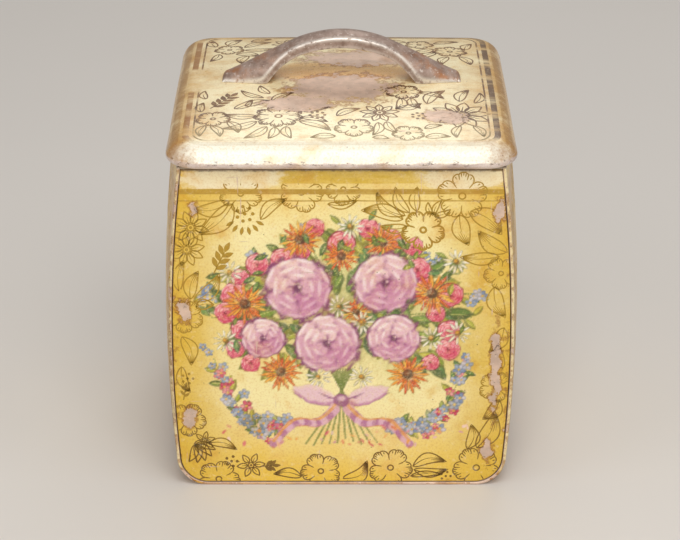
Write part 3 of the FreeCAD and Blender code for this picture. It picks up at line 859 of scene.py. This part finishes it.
def lid_shade(place):
    across, along = abs(place.axis(0)), place.axis(1)
    drift = (place.noise(14, 5, 0.62) - 0.5) * 0.9
    slope = (across / 58).most(along / 62) + drift
    colour = slope.over(0.6, 1.1).mix(tone(255, 242, 200), tone(206, 162, 90))
    tan = place.noise(6, 6, 0.7, (0.7, 1, 1)).over(0.5, 0.66) * 0.5
    colour = tan.mix(colour, tone(228, 188, 116))
    edge = (across + (place.noise(5, 4) - 0.5) * 1.2).between(54.6, 57.4, 0.25)
    colour = (edge * place.noise(7, 5, 0.7).over(0.3, 0.55) * 0.8).mix(colour, tone(172, 128, 68))
    smears = place.noise(3, 5, 0.7, (0.25, 1, 1)).over(0.58, 0.7) * place.noise(24, 2).over(0.42, 0.6)
    colour = (smears * 0.6).mix(colour, tone(178, 132, 74))
    smudge = (along + drift * 4).between(-54.5, -49.5, 1.2) * place.noise(7, 5, 0.7).over(0.45, 0.62)
    colour = (smudge * 0.5).mix(colour, tone(186, 142, 80))
    # Painted light under the handle's arch: a bright golden tint that makes up for the handle's shadow on the
    # lid there.
    arch_painted_light = (place.near((0, 8, 132), (44, 15, 60)) + drift * 0.5).over(0.15, 0.5) * 0.9
    colour = arch_painted_light.mix(colour, tone(255, 206, 124))
    # Painted highlight: the lid's front slope lightened to near white.
    front_slope_highlight = (along + drift * 5).over(-50.5, -55.5) * 0.9
    colour = front_slope_highlight.mix(colour, tone(255, 252, 238))
    corner = across - along * 0.6 + (place.noise(3, 5, 0.7) - 0.5) * 20
    colour = (corner.over(80, 92) * 0.8).mix(colour, tone(168, 120, 66))
    flakes = (place.noise(1.6, 4, 0.7, (0.5, 0.5, 1)) - 0.5) * 2.6
    up = place.axis(2) + flakes
    cloud = place.noise(4, 4, 0.6, (0.5, 0.5, 1)).over(0.3, 0.7)
    colour = up.over(124.4, 123.7).mix(colour, cloud.mix(tone(188, 166, 157), tone(226, 210, 201)))
    chips = up.between(123.3, 124.7, 0.3) * place.noise(1.1, 3, 0.7, (0.5, 0.5, 1)).over(0.56, 0.64)
    return (chips * 0.7).mix(colour, tone(96, 66, 48))


def lid_worn(place):
    patches = [
        ((0, -9, 132), (33, 24, 40)),
        ((-15, -23, 132), (22, 12, 40)),
        ((6, 23, 132), (36, 16, 40)),
        ((35, -33, 131), (13, 10, 40)),
    ]
    return place.among(patches) * 1.2 - 0.55


def lid_ink(place):
    colour = place.noise(6, 3).over(0.35, 0.7).mix(tone(104, 68, 26), tone(146, 104, 46))
    across, along = place.axis(0), place.axis(1)
    colour = (along.over(-34, -46) * 0.6).mix(colour, tone(164, 146, 84))
    edging = across.over(-1, 1).mix(tone(164, 116, 58), tone(104, 72, 30))
    colour = abs(across).over(50.4, 50.8).mix(colour, edging)
    border = abs(across).most(abs(along) - 2).over(49.2, 49.5)
    flaked = place.noise(9, 4, 0.65, (0.2, 1, 0.2)).over(0.46, 0.66) * 0.9
    gaps = flaked.most(place.near((-52, 2, 130), (14, 15, 60)).over(0.1, 0.3))
    lost = border * gaps.most(along.over(-48, -51.5) * 0.8)
    return lost.mix(colour, lid_shade(place))


lid_heart = (0, 0, 100 * mm)
recoat("lid_shell", printed_tin("printed_lid", lid_shade, lid_worn, lid_heart, 0.22))


def frame_line(half_x, half_y, radius, width):
    """A closed line round the lid with rounded corners."""
    points = []
    for turn, (east, north) in enumerate(((1, -1), (1, 1), (-1, 1), (-1, -1))):
        heart = east * (half_x - radius) + 1j * north * (half_y - radius)
        points.extend(heart + radius * np.exp(1j * (np.linspace(-0.5, 0, 8) * np.pi + turn * np.pi / 2)))
    spaced = []
    for start, end in zip(points, points[1:] + points[:1]):
        steps = max(1, int(abs(end - start) / 3))
        spaced.extend(start + (end - start) * np.arange(steps) / steps)
    return ring(spaced, width)


lid_blooms = [
    (-43.6 - 34.4j, 6.0, 0.4, 5, 0.55),
    (-21.4 - 33.4j, 8.6, 0.1, 9, 0.55),
    (4.2 - 42.4j, 6.8, 0.3, 5, 0.55),
    (21.6 - 12.4j, 6.6, 0.5, 7, 0.55),
    (22.4 - 46.6j, 5.6, 0.2, 5, 0.5),
    (-41.0 + 36.0j, 5.6, 0.2, 5, 0.5),
    (28.6 + 42.0j, 5.4, 0.5, 5, 0.5),
    (39.6 + 33.6j, 6.4, 0.2, 7, 0.5),
]
lid_daisies = [
    (13.0 - 31.0j, 6.8, 9, 0.2, 0.55),
    (40.6 - 31.0j, 10.4, 10, 0.15, 0.6),
    (-19.4 + 42.4j, 6.4, 8, 0.1, 0.55),
]
lid_bold_leaves = [
    (-33.0 - 24.4j, -24.6 - 20.0j, 4.4, 0.1, 5),
    (-12.8 - 30.0j, -3.6 - 26.6j, 4.2, 0.12, 5),
    (29.4 - 22.6j, 36.0 - 10.0j, 4.6, 0.12, 5),
    (-46.4 + 40.4j, -47.8 + 48.4j, 3.8, 0.1, 5),
    (-42.0 + 42.0j, -37.0 + 49.6j, 4.4, 0.12, 5),
    (-38.4 + 30.6j, -29.4 + 26.4j, 4.4, 0.12, 5),
    (-25.0 + 34.0j, -18.6 + 26.0j, 4.2, 0.12, 5),
    (33.6 + 36.6j, 24.6 + 31.0j, 4.4, 0.12, 5),
    (34.4 + 31.6j, 29.0 + 23.4j, 4.0, -0.12, 5),
]
lid_leaves = [
    (-36.6 - 26.6j, -30.8 - 19.0j, 3.8, -0.1, 4),
    (-1.6 - 33.6j, 6.4 - 27.6j, 3.8, 0.12, 4),
    (18.6 - 27.4j, 27.4 - 22.4j, 4.0, -0.12, 5),
    (40.6 - 19.6j, 44.4 - 8.4j, 4.2, 0.1, 5),
    (28.0 - 49.4j, 36.4 - 48.8j, 3.6, 0.1, 4),
    (-2.0 - 49.0j, -10.4 - 50.0j, 3.6, -0.1, 4),
    (10.4 - 49.8j, 15.8 - 50.6j, 2.6, 0.1, 2),
    (-38.4 - 37.0j, -34.6 - 46.0j, 3.6, 0.1, 4),
    (-48.0 - 28.0j, -47.6 - 20.0j, 3.2, 0.1, 4),
    (16.0 - 8.4j, 8.4 - 14.0j, 3.8, 0.12, 4),
    (46.0 - 20.6j, 48.2 - 10.6j, 3.0, -0.1, 3),
    (-28.8 - 33.2j, -40.0 - 31.0j, 4.0, 0.1, 4),
    (-28.6 - 37.4j, -40.2 - 42.6j, 4.2, 0.12, 4),
    (-25.2 - 41.6j, -32.6 - 50.2j, 3.8, 0.1, 4),
    (-22.4 - 42.2j, -24.4 - 50.6j, 3.4, 0.1, 3),
    (-18.6 - 41.6j, -16.8 - 50.4j, 3.4, -0.1, 3),
    (-14.2 - 37.6j, -3.6 - 45.0j, 4.4, 0.12, 5),
    (-14.0 - 34.6j, -4.6 - 38.4j, 3.2, 0.1, 3),
    (12.4 - 38.8j, 10.4 - 48.4j, 3.4, 0.12, 3),
    (15.2 - 38.0j, 18.6 - 46.4j, 3.2, -0.1, 3),
    (26.9 - 12.4j, 35.4 - 17.8j, 3.2, 0.14, 4),
    (20.6 - 18.4j, 18.6 - 28.2j, 3.8, 0.12, 4),
    (24.0 - 18.0j, 27.0 - 27.0j, 3.6, -0.12, 4),
    (44.6 - 40.0j, 47.6 - 48.6j, 3.0, 0.1, 4),
    (40.0 - 40.4j, 38.4 - 49.6j, 3.0, -0.1, 4),
    (28.0 - 43.0j, 34.0 - 40.0j, 2.8, 0.1, 3),
    (-44.0 - 40.0j, -40.6 - 48.6j, 3.2, 0.12, 4),
    (-46.0 - 39.6j, -47.4 - 48.2j, 3.0, -0.1, 4),
    (-47.0 - 16.6j, -47.6 - 9.0j, 2.8, 0.1, 2),
    (-27.0 - 17.6j, -35.0 - 10.0j, 2.8, 0.1, 3),
    (-24.0 - 20.6j, -16.4 - 13.0j, 3.4, 0.1, 4),
    (-25.0 - 14.0j, -28.4 - 6.0j, 3.0, 0.1, 3),
    (-35.6 + 38.6j, -26.0 + 45.4j, 3.8, 0.12, 4),
    (-35.4 + 35.0j, -24.6 + 36.6j, 3.6, -0.1, 4),
    (-44.6 + 30.6j, -47.4 + 22.4j, 3.4, 0.1, 4),
    (-33.4 + 46.0j, -26.0 + 50.2j, 3.8, 0.1, 4),
    (-34.0 + 27.6j, -36.0 + 18.6j, 3.8, -0.12, 4),
    (-13.4 + 44.4j, -4.6 + 50.0j, 3.8, 0.1, 4),
    (45.2 + 36.6j, 48.0 + 44.6j, 3.8, 0.1, 4),
    (23.8 + 45.2j, 15.6 + 49.8j, 3.8, 0.1, 4),
    (23.4 + 39.6j, 14.4 + 36.6j, 3.4, 0.1, 4),
    (34.0 + 43.6j, 43.4 + 46.8j, 3.6, 0.1, 4),
    (43.0 + 27.6j, 46.4 + 18.4j, 3.8, 0.1, 4),
    (38.6 + 26.8j, 36.0 + 17.6j, 3.6, -0.1, 4),
    (4.6 + 42.0j, -6.6 + 40.0j, 3.8, 0.12, 4),
    (2.6 + 46.6j, -9.0 + 47.6j, 3.6, -0.1, 4),
]
lid_sprigs = [
    (-45.0 - 25.6j, -38.4 - 15.6j, 4, 4.4, 0.5),
]
lid_berries = [
    (-8.2 - 32.9j, 2.5, 8, 0.62),
    (26.3 - 33.0j, 2.3, 7, 0.6),
    (10.0 + 42.6j, 2.3, 7, 0.6),
]
border_ink = 0.6
lid_lines = [frame_line(49.8, 51.8, 6.0, border_ink)]
for half_x in (51.6, 52.1, 52.6, 53.1):
    lid_lines.append(frame_line(half_x, half_x + 1.3, half_x - 45.3, border_ink))
lid_lines += several(bloom, lid_blooms) + several(daisy, lid_daisies)
lid_lines += several(leaf, lid_bold_leaves, ink=0.55) + several(leaf, lid_leaves, ink=0.5)
lid_lines += several(sprig, lid_sprigs) + several(berries, lid_berries)
lid_brown = printed_tin("lid_brown", lid_ink, lid_worn)
print_lines("lid_lines", lid_lines, tins["lid_shell"], (0, 0, 1), (1, 0, 0), (0, 1, 0), "lid", lid_brown)

# Rim wire: a ring of drawn steel wire that stiffens the lid's edge, with the rim rolled round it.
# It lies bare in the rim's two notches, where the hinge tabs curl round it.
recoat("lid_rim_wire", bare_tin("rim_wire_steel", 150, 138, 130, 0.3))

# Handle: a strap of sheet metal pressed to a shallow channel and arched, with spread feet on the lid and a
# tongue under each that passes through and is bent over inside. The lacquer has worn to a mauve grey, rubbed
# bright along the edges with a painted highlight on them, brown on the feet, and still golden underneath.
grip_half, foot_x, toe_x, toe_round, setback = 13.0, 27.5, 42.0, 1.6, 2.5
strap_sheet, strap_skirt, brow_reach = 0.6, 3.6, 0.9
strap_widths, strap_crowns = (10.6, 14.5, 7.0), (1.0, 7.2, 2.0)
arch_foot, arch_rise, arch_reach, arch_curve, flare_curve = 133.55, 15.9, 44.0, 0.65, 2.4
outer_gap, inner_gap, under_lid = 0.06, 0.03, 0.45
tongue_stem, tongue_tip, tongue_half, tongue_top, tongue_lap = 33.5, 39.1, 3.5, 134.0, 0.3
crown_edge, crown_rise, crown_half_x, crown_half_y = 128.75, 3.9, 79.9, 60.0


def lid_height(x, y):
    """Height of the lid's crowned top in millimetres."""
    return crown_edge + crown_rise * (1 - (x / crown_half_x) ** 2) * (1 - (y / crown_half_y) ** 2)


def along_strap(x, at_grip, at_foot, at_toe):
    """A size that is even along the grip, flares to the foot and tapers to the toe."""
    flare = np.clip((abs(x) - grip_half) / (foot_x - grip_half), 0, 1) ** flare_curve
    taper = np.clip((abs(x) - foot_x) / (toe_x - foot_x), 0, 1)
    return at_grip + (at_foot - at_grip) * flare + (at_toe - at_foot) * taper


def eased(values, steps):
    """Values along their last axis with corners rounded over this many steps each way."""
    weights = np.hanning(2 * steps + 3)[1:-1]
    padded = np.pad(values, [(0, 0)] * (values.ndim - 1) + [(steps, steps)], "reflect", reflect_type="odd")
    return np.apply_along_axis(np.convolve, -1, padded, weights / weights.sum(), "valid")


def strap_mesh():
    """The strap's outer and inner faces, its hems and toes, and the two tongues."""
    stations, count, flare_ease, brow_ease = 193, 57, 5, 3
    x = toe_x * np.sin(np.linspace(-math.pi / 2, math.pi / 2, stations))
    half = eased(along_strap(x, *strap_widths) / 2, flare_ease)[:, None]
    crown = eased(along_strap(x, *strap_crowns), flare_ease)[:, None]
    ridge = (arch_foot + arch_rise * ((1 + np.cos(np.pi * x / arch_reach)) / 2) ** arch_curve)[:, None]
    radius = (half**2 + crown**2) / (2 * crown)
    sweep = np.arctan2(half, radius - crown) * np.linspace(-1, 1, 41)
    over_y, over_z = radius * np.sin(sweep), ridge - radius * (1 - np.cos(sweep))
    brow = ridge - crown
    hem = np.maximum(brow - strap_skirt, lid_height(x[:, None], setback + half))
    drop = np.linspace(0, 1, 9)[:-1]
    rise = hem + (brow - hem) * drop
    section_y = np.concatenate([-half + 0 * drop, over_y, half + 0 * drop], 1)
    section_z = np.concatenate([rise, over_z, rise[:, ::-1]], 1)
    lengths = np.hypot(np.diff(section_y), np.diff(section_z)).cumsum(1)
    lengths = np.concatenate([0 * half, lengths], 1)
    outer = np.empty((stations, count, 3))
    rub_and_gleam = np.empty((stations, count))
    for number in range(stations):
        even = np.linspace(0, lengths[number, -1], count)
        outer[number, :, 1] = eased(np.interp(even, lengths[number], section_y[number]), brow_ease)
        outer[number, :, 2] = eased(np.interp(even, lengths[number], section_z[number]), brow_ease)
        # Rubbed wear along the brows and, weaker, the hems, which also carries a painted highlight along
        # them.
        edge = lengths[number, len(drop)]
        from_hem = np.minimum(even, even[::-1])
        rub_and_gleam[number] = np.exp(-(((from_hem - edge) / brow_reach) ** 2))
        rub_and_gleam[number] += 0.6 * np.exp(-((from_hem / brow_reach) ** 2))
    outer[..., 0] = x[:, None]
    outer[..., 1] += setback
    run_y, run_z = np.gradient(outer[..., 1], axis=1), np.gradient(outer[..., 2], axis=1)
    size = np.maximum(np.hypot(run_y, run_z), 1e-6)
    inner = outer.copy()
    inner[..., 1] += strap_sheet * run_z / size
    inner[..., 2] -= strap_sheet * run_y / size
    ground = lid_height(outer[..., 0], outer[..., 1])
    end = np.clip((abs(x) - toe_x + toe_round) / toe_round, 0, 1)[:, None]
    low = np.sqrt(1 - end**2)
    outer[..., 2] = ground + outer_gap + np.maximum(outer[..., 2] - ground - outer_gap, 0) * low
    lowest = ground + inner_gap
    inner[..., 2] = np.maximum(lowest + (inner[..., 2] - lowest) * low, lowest)
    index = np.arange(stations * count).reshape(stations, count)
    beneath = index + index.size
    patches = [(index, 0), (beneath[:, ::-1], 1)]
    for first, second in ((beneath[:, 0], index[:, 0]), (index[:, -1], beneath[:, -1])):
        patches.append((np.stack([first, second], 1), 0))
    for first, second in ((beneath[0], index[0]), (index[-1], beneath[-1])):
        patches.append((np.stack([first, second], 0), 0))
    faces, slots = [], []
    for patch, slot in patches:
        quads = np.stack([patch[:-1, :-1], patch[1:, :-1], patch[1:, 1:], patch[:-1, 1:]], -1).reshape(-1, 4)
        faces += quads.tolist()
        slots += [slot] * len(quads)
    strap_faces = len(faces)
    tongue_sides = ((0, 1, 3, 2), (4, 6, 7, 5), (0, 4, 5, 1), (2, 3, 7, 6), (1, 5, 7, 3), (0, 2, 6, 4))
    points = np.concatenate([outer.reshape(-1, 3), inner.reshape(-1, 3)]).tolist()
    rubs_and_gleams = np.concatenate([rub_and_gleam.ravel(), 0 * rub_and_gleam.ravel()]).tolist()
    for side in (-1, 1):
        under = lid_height(tongue_tip, setback + tongue_half) - under_lid
        for near, far, top in (
            (tongue_stem, tongue_stem + strap_sheet, tongue_top),
            (tongue_stem + tongue_lap, tongue_tip, under),
        ):
            first = len(points)
            for px in sorted((side * near, side * far)):
                for py in (setback - tongue_half, setback + tongue_half):
                    points += [(px, py, under - strap_sheet), (px, py, top)]
            rubs_and_gleams += [0.0] * 8
            for corners in tongue_sides:
                faces.append([first + corner for corner in corners])
                slots.append(0)
    mesh = bpy.data.meshes.new("strap")
    mesh.from_pydata((np.array(points) * mm).tolist(), [], faces)
    mesh.polygons.foreach_set("material_index", slots)
    mesh.polygons.foreach_set("use_smooth", [number < strap_faces for number in range(len(faces))])
    mesh.attributes.new("rub_and_gleam", "FLOAT", "POINT").data.foreach_set("value", rubs_and_gleams)
    mesh.update()
    return mesh


def handle_metal(name):
    """Worn lacquer on the strap, its rubbed edges also carrying a painted highlight."""
    material, shader, place, _ = new_finish(name)
    rub_and_gleam = place.node("Attribute", {"attribute_name": "rub_and_gleam"}, {}, 2)
    cloud = place.noise(4, 5, 0.65)
    fine = place.noise(0.7, 4, 0.65)
    colour = cloud.over(0.3, 0.7).mix(tone(136, 112, 100), tone(180, 158, 147))
    feet = abs(place.axis(0)).over(14, 34) * place.noise(6, 4, 0.6).over(0.42, 0.66)
    colour = (feet * 0.75).mix(colour, tone(176, 112, 58))
    chips = place.noise(1.4, 5, 0.7).over(0.58, 0.66)
    # Pale rubbed edges and chips, with a painted highlight along the edges.
    rubbed_and_gleaming = (rub_and_gleam * place.noise(2.0, 5, 0.72).over(0.32, 0.5)).most(chips * 0.6)
    colour = (rubbed_and_gleaming * 0.85).mix(colour, tone(244, 236, 228))
    pits = fine.over(0.36, 0.27)
    colour = (pits * 0.6).mix(colour, tone(92, 66, 54))
    height = cloud * 0.5 + fine * 0.3 - chips * 0.35 - pits * 0.3
    bump = place.node("Bump", {}, {"Strength": 0.55, "Distance": 0.16 * mm, "Height": height})
    feed(
        shader,
        Base_Color=colour,
        Metallic=0.35 + rubbed_and_gleaming * 0.25,
        Roughness=0.34 + cloud * 0.22 + fine * 0.1 - rubbed_and_gleaming * 0.12,
        Normal=bump,
    )
    return material


def under_gold(place):
    return place.noise(5, 4).over(0.3, 0.7).mix(tone(206, 158, 54), tone(178, 128, 40))


def under_worn(place):
    return place.noise(14, 3).over(0.55, 0.75) * 0.5 - 0.6


worn_lacquer = handle_metal("handle_metal")
golden_lacquer = printed_tin("handle_underside", under_gold, under_worn)
strap = new_piece("strap", strap_mesh(), worn_lacquer, golden_lacquer)
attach(strap, "lid")
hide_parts("handle_strap")

# Studio: a plain pale floor, a broad soft light above the front and weaker ones before it, at each side and
# behind. The camera stands in front and looks a little down.
floor_mesh = bpy.data.meshes.new("floor")
floor_mesh.from_pydata([(-4, -4, 0), (4, -4, 0), (4, 4, 0), (-4, 4, 0)], [], [(0, 1, 2, 3)])
floor_paint, floor_shader, floor_place, _ = new_finish("floor_paint")
feed(
    floor_shader,
    Base_Color=floor_place.noise(400, 3).mix(tone(214, 210, 206), tone(220, 216, 212)),
    Roughness=floor_place.noise(50, 3) * 0.1 + 0.55,
)
floor = new_piece("floor", floor_mesh, floor_paint)

target = Vector((0, 0, 58.3 * mm))


def soft_light(name, place, size, power, colour):
    """A square soft box turned to the object."""
    lamp = bpy.data.lights.new(name, "AREA")
    lamp.size, lamp.energy, lamp.color = size, power, colour
    holder = bpy.data.objects.new(name, lamp)
    holder.location = place
    holder.rotation_euler = (target - Vector(place)).to_track_quat("-Z", "Y").to_euler()
    bpy.context.scene.collection.objects.link(holder)


soft_light("key_light", (0.1, -0.7, 1.08), 0.8, 7.9, (1.0, 0.98, 0.94))
soft_light("front_light", (-0.12, -1.15, 0.56), 0.5, 2.3, (1.0, 0.98, 0.95))
soft_light("left_light", (-0.9, -0.5, 0.5), 0.6, 2.0, (1.0, 0.98, 0.95))
soft_light("right_light", (0.9, -0.4, 0.6), 0.6, 1.7, (1.0, 0.97, 0.93))
soft_light("back_light", (0.1, 0.8, 0.9), 0.6, 2.6, (1.0, 0.98, 0.95))
world = bpy.data.worlds.new("studio")
world.use_nodes = True
world.node_tree.nodes["Background"].inputs["Color"].default_value = (0.93, 0.9, 0.86, 1)
world.node_tree.nodes["Background"].inputs["Strength"].default_value = 0.3
bpy.context.scene.world = world
bpy.context.scene.view_settings.view_transform = "Standard"

camera_distance, camera_rise = 845.4 * mm, math.radians(24.73)
lens = bpy.data.cameras.new("camera")
lens.sensor_width = 36.0
lens.lens = 122.35
lens.shift_x = -1.5 / 680
camera = bpy.data.objects.new("camera", lens)
camera.location = target + camera_distance * Vector((0, -math.cos(camera_rise), math.sin(camera_rise)))
camera.rotation_euler = (math.pi / 2 - camera_rise, 0, 0)
bpy.context.scene.collection.objects.link(camera)
bpy.context.scene.camera = camera

bpy.context.view_layer.update()
